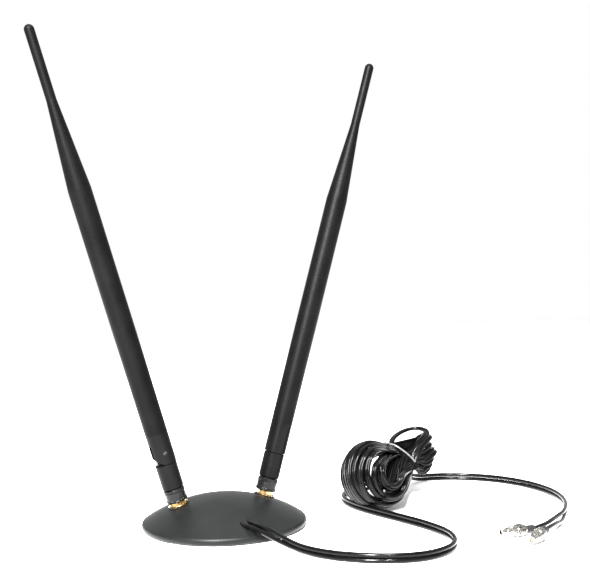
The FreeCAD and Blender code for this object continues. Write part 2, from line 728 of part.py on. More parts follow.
def cord_hank():
    """Outer shape of the tied hank: a large front lobe, a narrow waist and a smaller back lobe."""
    front = amount("hank_rad")
    back = amount("hank_back")
    span = amount("hank_span")
    along, hollow = waist_of_hank()
    centre = Vector(amount("hank_waist") + hollow, 0, along)

    def touch(middle, radius):
        return middle.add(centre.sub(middle).normalize().multiply(radius))

    first = touch(Vector(0, 0, 0), front)
    second = touch(Vector(0, 0, span), back)
    low = Vector(0, 0, -front)
    high = Vector(0, 0, span + back)
    lean = math.radians(40)
    low_middle = Vector(front * math.cos(lean), 0, -front * math.sin(lean))
    high_middle = Vector(back * math.cos(lean), 0, span + back * math.sin(lean))
    edges = [
        Part.Arc(low, low_middle, first).toShape(),
        Part.Arc(first, Vector(amount("hank_waist"), 0, along), second).toShape(),
        Part.Arc(second, high_middle, high).toShape(),
        Part.LineSegment(high, low).toShape(),
    ]
    solid = Part.Face(Part.Wire(edges)).revolve(Vector(), Vector(0, 0, 1), 360)
    feature = doc.addObject("Part::Feature", "cord_hank")
    feature.Shape = solid
    feature.Placement = hank_place()
    return keep(feature, "cord_hank")


def hank_tie():
    """Wire tie round the hank's waist."""
    along, hollow = waist_of_hank()
    tie = doc.addObject("Part::Torus", "hank_tie")
    tie.setExpression("Radius1", bound("hank_waist + tie_rad + 0.05"))
    tie.setExpression("Radius2", bound("tie_rad"))
    tie.Placement = hank_place().multiply(Placement(Vector(0, 0, along), Rotation()))
    return keep(tie, "hank_tie")


# Rear end of each plug's metal, and the direction from there to its nose.
PLUG_REAR = {"left": Vector(142.9, -119.1, 4.2), "right": Vector(140.8, -107.2, 3.5)}
PLUG_WAY = {"left": Vector(-15.1, -8.6, -0.7), "right": Vector(-15.9, 1.25, 0)}


def build_plug(side):
    place = Placement(PLUG_REAR[side], Rotation(Vector(0, 0, 1), PLUG_WAY[side]))
    boot_end = place.multVec(Vector(0, 0, -amount("boot_long")))
    turned(f"{side}_lead_plug_shell", [
        ("core_rad * 0.7", "0"),
        ("plug_rad - 0.9", "0"),
        ("plug_rad - 0.2", "1.6"),
        ("plug_rad", "2.4"),
        ("plug_rad", "6"),
        ("plug_rad - 0.5", "6.6"),
        ("plug_rad - 0.5", "9.6"),
        ("plug_rad - 1.1", "10.6"),
        ("plug_rad - 1.1", "12"),
        ("plug_rad - 1.6", "12.6"),
        ("plug_rad - 1.6", "plug_long"),
        ("core_rad * 0.7", "plug_long"),
    ], place)
    turned(f"{side}_lead_plug_insulator",
           tube_of("0.5", "plug_long - 2.5", "probe_rad", "core_rad * 0.7"), place)
    turned(f"{side}_lead_plug_contact", [
        ("0", "0.5"),
        ("probe_rad", "0.5"),
        ("probe_rad", "plug_long - 0.8"),
        ("0", "plug_long - 0.5"),
    ], place)
    boot = turned(f"{side}_lead_boot", [
        ("0", "-boot_long"),
        ("boot_rad - 0.5", "-boot_long"),
        ("boot_rad", "-boot_long + 1"),
        ("boot_rad", "0"),
        ("0", "0"),
    ], place)
    return boot_end


def build_lead():
    for side in SIDES:
        cord(f"{side}_inner_lead", INNER_ROUTE[side])
        cord(f"{side}_lead_front", front_route(side))
        boot_end = build_plug(side)
        route = back_route(side)
        route[-1] = tuple(boot_end)
        cord(f"{side}_lead_back", route)
    cord_hank()
    hank_tie()


# ---------------------------------------------------------------- build and write

build_base()
for side in SIDES:
    build_jack(side)
    build_whip(side)
build_lead()
doc.recompute()

faults = [o.Label for o in doc.Objects if {"Invalid", "Error"} & set(o.State)]
if faults:
    raise RuntimeError(f"objects that did not build: {faults}")
for node in NODES:
    if node.Shape.isNull() or not node.Shape.isValid() or not node.Shape.Solids:
        raise RuntimeError(f"{node.Label} has no valid solid")

os.makedirs("parts", exist_ok=True)
for node in NODES:
    node.Shape.exportStep(f"parts/{node.Label}.step")
    box = node.Shape.BoundBox
    print(f"{node.Label}: {len(node.Shape.Solids)} solid, volume {node.Shape.Volume:.1f}, "
          f"z {box.ZMin:.2f} to {box.ZMax:.2f}")
print(f"{len(NODES)} nodes")
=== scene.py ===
import json
import math
import random

import bmesh
import bpy
from mathutils import Matrix, Vector


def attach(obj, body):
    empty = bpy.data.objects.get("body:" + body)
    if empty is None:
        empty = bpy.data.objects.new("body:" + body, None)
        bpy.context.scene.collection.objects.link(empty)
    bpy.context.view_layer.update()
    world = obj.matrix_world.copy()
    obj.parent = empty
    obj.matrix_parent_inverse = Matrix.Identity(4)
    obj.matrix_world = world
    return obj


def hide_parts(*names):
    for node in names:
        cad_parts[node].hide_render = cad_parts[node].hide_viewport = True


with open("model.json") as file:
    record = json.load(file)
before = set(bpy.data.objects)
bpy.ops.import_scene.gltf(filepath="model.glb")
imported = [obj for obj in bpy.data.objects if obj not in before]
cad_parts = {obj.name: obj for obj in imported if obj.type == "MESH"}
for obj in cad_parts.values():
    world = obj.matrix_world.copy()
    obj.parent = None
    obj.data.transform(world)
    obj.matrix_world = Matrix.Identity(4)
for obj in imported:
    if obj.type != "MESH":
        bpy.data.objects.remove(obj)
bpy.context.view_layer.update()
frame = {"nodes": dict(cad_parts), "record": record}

bl_info = {
    "name": "Twin whip desk antenna",
    "version": (1, 0, 0),
    "blender": (4, 5, 0),
    "location": "View3D > Sidebar > Antenna",
    "description": "Finishes, leads and small trim of a twin whip antenna on a round base",
    "category": "Object",
}

MM = 0.001
SIDES = ("left", "right")
JOINTS = {joint["name"]: joint for joint in frame["record"]["behaviour"]["joints"]}
# Rear of each plug's metal in millimetres, and the way from there to its nose.
PLUG_REAR = {"left": Vector((142.9, -119.1, 4.2)), "right": Vector((140.8, -107.2, 3.5))}
PLUG_WAY = {"left": Vector((-15.1, -8.6, -0.7)), "right": Vector((-15.9, 1.25, 0))}
# The boot of a plug ends this far behind its metal, in millimetres.
BOOT_LENGTH = 6.0

# Closed outlines of the turned shapes, as (radius, height) in millimetres.
NUT_OUTLINE = [(3.23, 2.9), (5.7, 2.9), (6.3, 3.3), (6.35, 3.9), (6.2, 4.1), (6.2, 9.6), (6.35, 9.8),
               (6.35, 10.5), (5.7, 11.2), (3.0, 11.2), (3.0, 10.1), (4.05, 10.1), (4.05, 8.95), (3.23, 8.95)]
WASHER_OUTLINE = [(3.2, 0.3), (4.9, 0.3), (4.95, 0.5), (4.95, 0.8), (4.8, 1.0), (3.2, 1.0)]
PLUG_OUTLINE = [(1.4, 0), (2.5, 0), (2.7, 0.3), (3.25, 1.6), (3.3, 2.4), (3.3, 6.0), (3.0, 6.4), (2.7, 6.6),
                (2.7, 6.9), (3.0, 7.2), (3.0, 9.6), (2.4, 10.6), (2.4, 12.0), (1.9, 12.6), (1.9, 15.7),
                (1.75, 16.0), (1.4, 16.0)]
# Faces round a turned shape, and the angle in degrees above which an edge is left sharp.
TURN_STEPS = 64
SMOOTH_ANGLE = 35
TIE_SMOOTH_ANGLE = 60

# The camera's place in metres, its lens in millimetres, and its angles in radians: the way it
# faces, turned from Y towards X, how far it looks up, and its roll.
CAMERA_PLACE = (-0.1783, -0.4957, 0.1299)
CAMERA_LENS = 52.27
CAMERA_SENSOR = 36
CAMERA_NEAR = 0.01
CAMERA_TURN, CAMERA_TILT, CAMERA_ROLL = math.radians(24.76), 0.0206, -0.0207
# Each light's name, its place, the place it faces, its width and height in metres, and its watts.
LIGHTS = [
    ("key", (-0.75, -0.95, 0.95), (0.05, 0.0, 0.10), (0.22, 0.8), 150),
    ("glint", (-0.35, -1.1, 1.25), (0.12, 0.0, 0.02), (0.10, 0.10), 60),
    ("top", (0.15, 0.3, 1.5), (0.05, 0.1, 0.0), (1.0, 1.0), 10),
]
# Half the width of the floor, and how far it lies under the part, in metres.
FLOOR_HALF = 6.0
FLOOR_DROP = 0.0002


# ---------------------------------------------------------------- materials

def hex_colour(text):
    """An sRGB hex value as a linear colour."""
    parts = [int(text[i:i + 2], 16) / 255 for i in (1, 3, 5)]
    linear = [c / 12.92 if c <= 0.04045 else ((c + 0.055) / 1.055) ** 2.4 for c in parts]
    return (*linear, 1.0)


def add(tree, kind, links=None, **settings):
    """Adds a node. A setting is an input socket's value or the node's own property; links feed its inputs."""
    made = tree.nodes.new(kind)
    for name, value in settings.items():
        socket = made.inputs.get(name.replace("_", " "))
        if socket is not None:
            socket.default_value = value
        else:
            setattr(made, name, value)
    for name, source in (links or {}).items():
        tree.links.new(source, made.inputs[name])
    return made


def new_material(name, colour, **shader):
    """A material with one Principled shader, and its tree's Object coordinates."""
    material = bpy.data.materials.new(name)
    material.use_nodes = True
    tree = material.node_tree
    tree.nodes.clear()
    surface = add(tree, "ShaderNodeBsdfPrincipled", Base_Color=colour, **shader)
    add(tree, "ShaderNodeOutputMaterial", {"Surface": surface.outputs[0]})
    place = add(tree, "ShaderNodeTexCoord").outputs["Object"]
    material.diffuse_color = colour
    return material, tree, surface, place


def grain(tree, place, size, detail=2.0, stretch=None):
    """Noise whose blotches are about size metres across. stretch scales the pattern along each axis."""
    if stretch:
        place = add(tree, "ShaderNodeMapping", {"Vector": place}, Scale=stretch).outputs[0]
    return add(tree, "ShaderNodeTexNoise", {"Vector": place}, Scale=1 / size, Detail=detail).outputs[0]


def ranged(tree, value, low, high, start=0.3, end=0.7):
    """The value brought from start..end to low..high."""
    return add(tree, "ShaderNodeMapRange", {"Value": value}, From_Min=start, From_Max=end,
               To_Min=low, To_Max=high).outputs[0]


def tinted(tree, value, dark, light, start=0.3, end=0.7):
    """A colour between dark and light."""
    ramp = add(tree, "ShaderNodeValToRGB", {"Fac": value})
    ramp.color_ramp.elements[0].position = start
    ramp.color_ramp.elements[0].color = hex_colour(dark)
    ramp.color_ramp.elements[1].position = end
    ramp.color_ramp.elements[1].color = hex_colour(light)
    return ramp.outputs[0]


def bumped(tree, surface, height, depth, strength=1.0, under=None):
    """Relief of the given depth in metres, on top of another relief where one is given."""
    links = {"Height": height}
    if under is not None:
        links["Normal"] = under
    bump = add(tree, "ShaderNodeBump", links, Strength=strength, Distance=depth)
    tree.links.new(bump.outputs[0], surface.inputs["Normal"])
    return bump.outputs[0]


def moulded_abs(name, dark, light, roughness, grain_mm, depth_mm, specular):
    """Injection-moulded ABS: an etched grain breaks up its gloss, under broad soft patches."""
    material, tree, surface, place = new_material(name, hex_colour(dark), IOR=1.53,
                                                  Specular_IOR_Level=specular)
    patches = grain(tree, place, 18 * MM, 3)
    etched = grain(tree, place, grain_mm * MM, 3)
    tree.links.new(tinted(tree, patches, dark, light), surface.inputs["Base Color"])
    tree.links.new(ranged(tree, etched, roughness - 0.06, roughness + 0.08), surface.inputs["Roughness"])
    bumped(tree, surface, etched, depth_mm * MM, 0.6)
    return material


def dome_abs():
    """Moulded ABS with a satin spark-eroded grain of about 0.5 mm: soft wide highlights on the dome."""
    return moulded_abs("moulded_abs_dome", "#0a0b0b", "#101111", 0.40, 0.5, 0.012, 0.11)


def knuckle_abs():
    """Smooth moulded ABS: a clear narrow highlight along the collar and knuckle."""
    return moulded_abs("smooth_abs_knuckle", "#040404", "#080808", 0.30, 0.35, 0.004, 0.06)


def whip_abs():
    """Moulded whip sleeve with a coarse leather-like etching, drawn at 0.9 mm so that it shows."""
    return moulded_abs("etched_abs_whip", "#030303", "#070707", 0.42, 0.9, 0.07, 0.045)


def foot_rubber():
    """Die-cut sheet rubber: matte, with a fine dusty grain."""
    material, tree, surface, place = new_material("sheet_rubber", hex_colour("#101010"),
                                                  Specular_IOR_Level=0.25)
    dust = grain(tree, place, 1.2 * MM, 4)
    tree.links.new(tinted(tree, dust, "#0c0c0c", "#191918"), surface.inputs["Base Color"])
    tree.links.new(ranged(tree, dust, 0.7, 0.95), surface.inputs["Roughness"])
    bumped(tree, surface, dust, 0.05 * MM, 0.5)
    return material


def boot_rubber():
    """Moulded rubber boot: matte with a light bloom."""
    material, tree, surface, place = new_material("moulded_rubber_boot", hex_colour("#0d0d0e"),
                                                  Specular_IOR_Level=0.35)
    bloom = grain(tree, place, 0.8 * MM, 3)
    tree.links.new(tinted(tree, bloom, "#0a0a0b", "#17171a"), surface.inputs["Base Color"])
    tree.links.new(ranged(tree, bloom, 0.45, 0.65), surface.inputs["Roughness"])
    bumped(tree, surface, bloom, 0.03 * MM, 0.5)
    return material


def lead_pvc():
    """Extruded glossy PVC jacket: sharp long glints that waver a little with the extruder's ripple."""
    material, tree, surface, place = new_material("extruded_pvc_jacket", hex_colour("#030303"), IOR=1.54,
                                                  Specular_IOR_Level=0.10)
    ripple = grain(tree, place, 5 * MM, 2)
    scuffs = grain(tree, place, 0.6 * MM, 4)
    tree.links.new(tinted(tree, ripple, "#020202", "#060606"), surface.inputs["Base Color"])
    tree.links.new(ranged(tree, scuffs, 0.10, 0.2), surface.inputs["Roughness"])
    bumped(tree, surface, ripple, 0.08 * MM, 0.35)
    return material


def plated_metal(name, dark, light, rough, wear_and_reflection_mm, depth_mm=0.004):
    """Plated machined metal: colour and gloss vary in small worn patches; on the nickel their dark tone is
    also painted dark reflection.
    """
    material, tree, surface, place = new_material(name, hex_colour(light), Metallic=1.0)
    # Patch mask: worn places, and on the nickel also painted dark reflection.
    wear_and_painted_reflection = grain(tree, place, wear_and_reflection_mm * MM, 4)
    fine = grain(tree, place, 0.25 * MM, 2)
    tree.links.new(tinted(tree, wear_and_painted_reflection, dark, light, 0.35, 0.6), surface.inputs["Base Color"])
    tree.links.new(ranged(tree, wear_and_painted_reflection, rough + 0.12, rough - 0.05), surface.inputs["Roughness"])
    bumped(tree, surface, fine, depth_mm * MM, 0.5)
    return material


def gold_brass():
    """Gold-plated turned brass: warm, bright, a little darker where fingers have worn it."""
    return plated_metal("gold_plated_brass", "#8a5f2e", "#e9cd92", 0.18, 1.2)


def nickel():
    """Bright nickel over turned brass: nearly white, with grey patches that are partly worn places and partly
    painted dark reflection.
    """
    # The dark tone #3c3b39 is painted dark reflection as well as worn plating: it dims the plug's reflection
    # of the white surroundings.
    return plated_metal("bright_nickel", "#3c3b39", "#c9c6c0", 0.14, 0.9)


def pin_steel():
    """Ground steel pin with a dull end."""
    return plated_metal("ground_steel_pin", "#141415", "#3a3a3c", 0.3, 0.8)


def screw_steel():
    """Zinc-plated screw steel: grey with a faint yellow passivation."""
    return plated_metal("zinc_plated_screw", "#8d8c84", "#b9b8b0", 0.35, 1.2)


def radiator_brass():
    """Drawn brass rod and tube: plain, a little tarnished."""
    return plated_metal("drawn_brass", "#8a6a34", "#c9a560", 0.34, 2.5)


def ballast_steel():
    """Cold-rolled zinc-plated sheet: fine rolling lines along X."""
    material, tree, surface, place = new_material("rolled_steel_sheet", hex_colour("#9a9b9d"), Metallic=1.0)
    lines = grain(tree, place, 0.6 * MM, 3, (0.04, 1, 1))
    tree.links.new(tinted(tree, lines, "#7f8083", "#a9aaac"), surface.inputs["Base Color"])
    tree.links.new(ranged(tree, lines, 0.28, 0.5), surface.inputs["Roughness"])
    bumped(tree, surface, lines, 0.01 * MM, 0.5)
    return material


def ferrite():
    """Sintered ferrite: dark grey ceramic with a granular broken surface."""
    material, tree, surface, place = new_material("sintered_ferrite", hex_colour("#2c2c2e"),
                                                  Specular_IOR_Level=0.4)
    specks = grain(tree, place, 0.7 * MM, 5)
    tree.links.new(tinted(tree, specks, "#1f1f21", "#3a3a3c"), surface.inputs["Base Color"])
    tree.links.new(ranged(tree, specks, 0.55, 0.85), surface.inputs["Roughness"])
    bumped(tree, surface, specks, 0.05 * MM, 0.6)
    return material


def inner_plastic():
    """Plain moulded polyamide block inside the base."""
    return moulded_abs("moulded_polyamide_block", "#1a1a1a", "#232323", 0.55, 0.6, 0.02, 0.4)


def ptfe():
    """Turned PTFE: waxy off-white with faint tool marks."""
    material, tree, surface, place = new_material("turned_ptfe", hex_colour("#e6e3dc"), IOR=1.35,
                                                  Subsurface_Weight=0.1, Subsurface_Scale=0.4 * MM)
    marks = grain(tree, place, 0.3 * MM, 2, (1, 1, 6))
    tree.links.new(tinted(tree, marks, "#d9d5cc", "#f0eee8"), surface.inputs["Base Color"])
    tree.links.new(ranged(tree, marks, 0.3, 0.5), surface.inputs["Roughness"])
    bumped(tree, surface, marks, 0.01 * MM, 0.5)
    return material


def nut_black():
    """Black-chromed brass: deep black with hard glints on the knurl, greyer where it has rubbed."""
    material, tree, surface, place = new_material("black_chromed_brass", hex_colour("#030303"),
                                                  Specular_IOR_Level=0.22)
    rub = grain(tree, place, 1.5 * MM, 4)
    tree.links.new(tinted(tree, rub, "#020202", "#080808"), surface.inputs["Base Color"])
    tree.links.new(ranged(tree, rub, 0.16, 0.34), surface.inputs["Roughness"])
    bumped(tree, surface, rub, 0.02 * MM, 0.4)
    return material


def tie_wire():
    """Plastic-coated wire tie: a grey edge that catches the light."""
    material, tree, surface, place = new_material("coated_tie_wire", hex_colour("#4a4a4c"),
                                                  Coat_Weight=0.4, Coat_Roughness=0.15)
    scuffs = grain(tree, place, 1.0 * MM, 3)
    tree.links.new(tinted(tree, scuffs, "#2e2e30", "#77777a"), surface.inputs["Base Color"])
    tree.links.new(ranged(tree, scuffs, 0.25, 0.45), surface.inputs["Roughness"])
    bumped(tree, surface, scuffs, 0.02 * MM, 0.4)
    return material


FINISHES = {
    "dome_abs": dome_abs, "knuckle_abs": knuckle_abs, "whip_abs": whip_abs, "foot_rubber": foot_rubber,
    "boot_rubber": boot_rubber, "lead_pvc": lead_pvc, "gold_brass": gold_brass, "nickel": nickel,
    "pin_steel": pin_steel, "screw_steel": screw_steel, "radiator_brass": radiator_brass,
    "ballast_steel": ballast_steel, "ferrite": ferrite, "inner_plastic": inner_plastic, "ptfe": ptfe,
    "nut_black": nut_black, "tie_wire": tie_wire,
}
MADE = {}


def finish(slot):
    """The material of one of the record's slots, made once."""
    if slot not in MADE:
        MADE[slot] = FINISHES[slot]()
    return MADE[slot]


# ---------------------------------------------------------------- places and meshes

def jack_place(side):
    """Frame of one jack: Z along its axis, origin where the axis meets the dome."""
    joint = JOINTS[f"{side}_nut_spin"]
    turn = Vector((0, 0, 1)).rotation_difference(Vector(joint["axis"])).to_matrix().to_4x4()
    return Matrix.Translation(joint["pos_m"]) @ turn


def plug_place(side):
    """Frame of one push-on plug: Z towards its nose, origin at the rear of its metal."""
    turn = Vector((0, 0, 1)).rotation_difference(PLUG_WAY[side]).to_matrix().to_4x4()
    return Matrix.Translation(PLUG_REAR[side] * MM) @ turn


def new_piece(name, mesh, slot, body="base", replaces=()):
    """A finished piece at the origin, with its material, that rides on its body."""
    piece = bpy.data.objects.new(name, mesh)
    bpy.context.scene.collection.objects.link(piece)
    if not mesh.materials:
        mesh.materials.append(finish(slot))
    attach(piece, body)
    if replaces:
        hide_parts(*replaces)
    return piece


def turned_mesh(name, outline):
    """A closed ring with this (radius, height) outline in millimetres, turned about Z."""
    made = bmesh.new()
    turn = [math.tau * k / TURN_STEPS for k in range(TURN_STEPS)]
    rings = [[made.verts.new((radius * MM * math.cos(a), radius * MM * math.sin(a), height * MM))
              for a in turn] for radius, height in outline]
    for i, ring in enumerate(rings):
        other = rings[(i + 1) % len(rings)]
        for k in range(TURN_STEPS):
            following = (k + 1) % TURN_STEPS
            made.faces.new((ring[k], ring[following], other[following], other[k]))
    bmesh.ops.recalc_face_normals(made, faces=made.faces)
    return finished_mesh(name, made)


def finished_mesh(name, made, smooth_angle=SMOOTH_ANGLE):
    """The mesh of a bmesh, smooth except at edges sharper than the angle."""
    for face in made.faces:
        face.smooth = True
    for edge in made.edges:
        edge.smooth = len(edge.link_faces) == 2 and edge.calc_face_angle(0) < math.radians(smooth_angle)
    mesh = bpy.data.meshes.new(name)
    made.to_mesh(mesh)
    made.free()
    return mesh


def nodes_tree(name, inputs):
    """A Geometry Nodes tree with Geometry in and out and named inputs: {name: (socket kind, default)}."""
    tree = bpy.data.node_groups.new(name, "GeometryNodeTree")
    tree.interface.new_socket("Geometry", in_out="INPUT", socket_type="NodeSocketGeometry")
    for label, (kind, value) in inputs.items():
        socket = tree.interface.new_socket(label, in_out="INPUT", socket_type=kind)
        if value is not None:
            socket.default_value = value
    tree.interface.new_socket("Geometry", in_out="OUTPUT", socket_type="NodeSocketGeometry")
    return tree, tree.nodes.new("NodeGroupInput"), tree.nodes.new("NodeGroupOutput")


def run_nodes(mesh, tree, values, place):
    """The mesh after the tree, as a plain mesh in its place."""
    carrier = bpy.data.objects.new("carrier", mesh)
    bpy.context.scene.collection.objects.link(carrier)
    modifier = carrier.modifiers.new("nodes", "NODES")
    modifier.node_group = tree
    sockets = {item.name: item.identifier for item in tree.interface.items_tree if item.in_out == "INPUT"}
    for label, value in values.items():
        modifier[sockets[label]] = value
    graph = bpy.context.evaluated_depsgraph_get()
    result = bpy.data.meshes.new_from_object(carrier.evaluated_get(graph))
    carrier.modifiers.remove(modifier)
    bpy.data.objects.remove(carrier)
    result.transform(place)
    return result


# ---------------------------------------------------------------- twin lead

# The leads' route points in millimetres, the same as those of the solid tubes.
FRONT_ROUTE = {
    "left": [(-3.4, -41, 8.95), (-0.6, -49, 9), (1.6, -60, 7.9), (6, -70.5, 5.6), (12, -79.5, 2.9),
             (18.5, -88.5, 1.3)],
    "right": [(0.9, -39.2, 9.75), (2.3, -48.5, 10.05), (3.8, -59.5, 10.1), (7.2, -71, 7.9), (12, -80.5, 5.3),
              (18.5, -88.5, 3.85)],
}
TWIN_FRONT = [(27, -102), (46, -117), (68, -123), (90, -114), (101, -94), (101, -70), (96, -45), (90, -20),
              (87.5, 0), (90, 18), (101, 33)]
TWIN_INTO_HANK = [(118, 37, 1.9), (129, 31, 7), (134.5, 17, 16)]
TWIN_OUT_OF_HANK = [(146, 25, 17), (157, 40.5, 6.5)]
TWIN_BACK = [(171, 51.5), (188, 49), (205, 38.5), (219, 22), (226.5, 0), (226.5, -24), (220, -47),
             (206.5, -68.5), (189, -86)]
BACK_END = {
    "left": [(174, -99.5, 1.6), (160.5, -109.1, 4.4), (148.9, -115.7, 4.5)],
    "right": [(172.5, -95.5, 3.7), (160, -103, 3.5), (147.3, -107.7, 3.5)],
}
# The middle of each lead above the table where it lies flat. On a slope the two stand further
# apart upright, by this factor.
LEAD_LEVEL = {"left": 1.3, "right": 3.95}
SLOPE_LIFT = 1.2

# The hank's own frame: origin in the middle of its ball, then to the side, away and up.
HANK_BALL = Vector((100.7, -9.7, 22.5))
HANK_AXES = Matrix(((0.857, 0.515, 0), (-0.515, 0.857, 0), (0, 0, 1)))
# The ball's turns lie square to BALL_POLE. Its other two axes point to the waist and up.
BALL_POLE = Vector((0.55, -0.81, 0.2))
BALL_OUT = Vector((0.827, 0.561, 0))
BALL_UP = Vector((-0.112, 0.165, 0.98))
# The tied waist is a flat bundle, spread along WAIST_SPREAD.
WAIST = Vector((18.3, 40, 4.2))
WAIST_SPREAD = Vector((0.78, 0, -0.63))
# The far ends of the back turns, from the first of the fan to its last, and the way the turns lie.
FAN_ENDS = [Vector((34.5, 52, 18.6)), Vector((37.7, 53, 13.4)), Vector((39, 53, 8.1)),
            Vector((39, 52, 3.2)), Vector((33.5, 50, -4.2))]
FAN_WAY = Vector((0.77, 0, 0.64))
FAN_SPREAD = Vector((0.64, 0, -0.77))
# Each turn of the hank: where its front ring lies along the ball's pole, the ring's radius, the
# angles in degrees where the ring starts and ends, where its top and its bottom strand lie in the
# waist, and where its back turn lies in the fan.
HANK_TURNS = [
    (19.2, 7.0, 150, 345, -7.5, 9.0, 1.0),
    (17.0, 11.8, 140, 338, -6.5, 8.0, 0.86),
    (-8.5, 18.6, 75, 285, -8.5, -8.0, 0.1),
    (14.0, 15.2, 118, 326, -3.5, 7.0, 0.72),
    (-4.0, 20.8, 80, 285, -6.0, -6.0, 0.24),
    (7.0, 19.2, 97, 308, 3.0, 5.5, 0.92),
    (3.5, 20.9, 92, 300, -1.0, 0.5, 0.5),
    (5.2, 16.2, 85, 288, -4.5, -4.0, 0.36),
    (12.2, 13.4, 128, 330, -5.0, 8.5, 0.62),
    (10.5, 18.3, 105, 315, 1.0, 4.0, 0.04),
    (16.2, 8.6, 140, 332, -2.0, 6.5, 0.96),
    (-0.2, 20.1, 90, 296, 6.0, 3.0, 0.55),
]
# The turn that stands loose from the fan, and its way from the waist over the fan and back.
LOOSE_TURN = 4
LOOSE_ARCH = [(24, 41, 7), (31, 45, 13.5), (36.5, 50, 18.5), (34, 58, 21), (25, 61, 21.2),
              (16, 56, 18.5), (10, 48, 14)]
# The wire tie's loop in millimetres: the shift of its middle from the waist, the way through the
# bundle, half its width and depth, its wire's radius, and how square it is: 1 is an ellipse.
TIE_SHIFT = Vector((-1, 0.5, 1))
TIE_THROUGH = Vector((-0.372, 0.805, -0.46))
TIE_HALF_WIDE, TIE_HALF_DEEP, TIE_RADIUS = 11.6, 7.0, 0.55
TIE_SQUARENESS = 0.8
TIE_POINTS = 16
# Its two twisted ends: the wire's radius, where they start, the step and the angle from one point
# to the next, and how far each point is from the twist's middle.
TWIST_RADIUS, TWIST_START, TWIST_STEP, TWIST_ANGLE = 0.5, -0.6, 0.45, 1.1
TWIST_REACH = (0.55, 0.55, 0.55, 0.55, 0.55, 0.55, 0.55, 0.9, 1.4)
# How far the turns stray from their places, in millimetres, and from their plane, as a slope.
FAN_STRAY = 1.5
RING_STRAY = 0.6
RING_LEAN = 0.07
# Points round one front ring, and how much larger than the ring their polygon is.
RING_POINTS = 9
RING_REACH = 1.03
# The rings beyond TALL_FROM along the pole are taller than wide, by TALL_RATE for each millimetre.
TALL_FROM = 10
TALL_RATE = 0.02
# Where a strand passes the waist, from its place in the bundle: towards the near and the far side.
NEAR_PASS = Vector((0, -3.5, 0))
FAR_PASS = Vector((-1.5, 3.5, 2))
FAR_SQUEEZE = 0.9
LAST_PASS = Vector((0, -2, -4))
# The fold of a back turn, from its far end: the start and end of the fold, the ways back from
# them along FAN_WAY, and the fold's own two points.
FOLD_START, FOLD_START_BACK = Vector((0, -8.5, 0)), 6
FOLD_END, FOLD_END_BACK = Vector((0, 9, 0)), 6.5
FOLD_POINTS = (Vector((0.3, -6, 0)), Vector((0.3, 6, 0)))
# A back strand's points on its way out: how far along it they are, and their lift.
OUTWARD_POINTS = ((0.33, 0.7), (0.7, 0.4))


def hank_spot(spot):
    """A place in the hank's own frame, in the frame of the whole."""
    return HANK_BALL + HANK_AXES @ Vector(spot)


def hank_spots(offset):
    """The hank's turns, each round the back fan and then round the ball, as points for one lead."""
    loose = random.Random(11)
    spots = []

    def lay(spot, spread):
        spots.append(hank_spot(Vector(spot) + spread * offset))

    last_gap = len(FAN_ENDS) - 1
    strand = HANK_TURNS[0][5]
    for turn, (along, radius, first, last, top, bottom, fan) in enumerate(HANK_TURNS):
        near = WAIST + WAIST_SPREAD * strand + NEAR_PASS
        strand = bottom
        far = WAIST + WAIST_SPREAD * top * FAR_SQUEEZE + FAR_PASS
        part = min(int(fan * last_gap), last_gap - 1)
        end = FAN_ENDS[part].lerp(FAN_ENDS[part + 1], fan * last_gap - part)
        end = end + Vector([loose.uniform(-FAN_STRAY, FAN_STRAY) for axis in range(3)])
        lean = loose.uniform(-RING_LEAN, RING_LEAN)
        turn_up = loose.uniform(-RING_LEAN, RING_LEAN)
        shift = Vector([loose.uniform(-RING_STRAY, RING_STRAY) for axis in range(3)])
        lay(near, WAIST_SPREAD)
        if turn == LOOSE_TURN:
            for spot in LOOSE_ARCH:
                lay(spot, BALL_POLE)
        else:
            near_end = end + FOLD_START - FAN_WAY * FOLD_START_BACK
            for share, lift in OUTWARD_POINTS:
                lay(near.lerp(near_end, share) + Vector((0, 0, lift)), FAN_SPREAD)
            lay(near_end, FAN_SPREAD)
            for fold in FOLD_POINTS:
                lay(end + fold, FAN_SPREAD)
            far_end = end + FOLD_END - FAN_WAY * FOLD_END_BACK
            lay(far_end, FAN_SPREAD)
            lay(far_end.lerp(far, 0.5), FAN_SPREAD)
        lay(far, WAIST_SPREAD)
        pole = (BALL_POLE + BALL_OUT * lean + BALL_UP * turn_up).normalized()
        out = (BALL_OUT - pole * BALL_OUT.dot(pole)).normalized()
        high = pole.cross(out)
        if high.z < 0:
            high = -high
        tall = 1 + TALL_RATE * max(0, along - TALL_FROM)
        for k in range(RING_POINTS):
            angle = math.radians(first + (last - first) * k / (RING_POINTS - 1))
            reach = out * math.cos(angle) + high * math.sin(angle) * tall
            lay(pole * along + shift + reach * radius * RING_REACH, pole)
    lay(WAIST + LAST_PASS, WAIST_SPREAD)
    return spots


def lead_spots(side, pitch):
    """All control points of one lead, from its hole in the dome to the end of its plug's boot."""
    level = LEAD_LEVEL[side]
    lift = SLOPE_LIFT * (level - LEAD_LEVEL["left"])
    offset = pitch / 2 if side == "left" else -pitch / 2
    spots = [Vector(p) for p in FRONT_ROUTE[side]]
    spots += [Vector((x, y, level)) for x, y in TWIN_FRONT]
    spots += [Vector((x, y, z + lift)) for x, y, z in TWIN_INTO_HANK]
    spots += hank_spots(offset)
    spots += [Vector((x, y, z + lift)) for x, y, z in TWIN_OUT_OF_HANK]
    spots += [Vector((x, y, level)) for x, y in TWIN_BACK]
    spots += [Vector(p) for p in BACK_END[side]]
    spots = [p * MM for p in spots]
    return spots + [plug_place(side) @ Vector((0, 0, -BOOT_LENGTH * MM))]


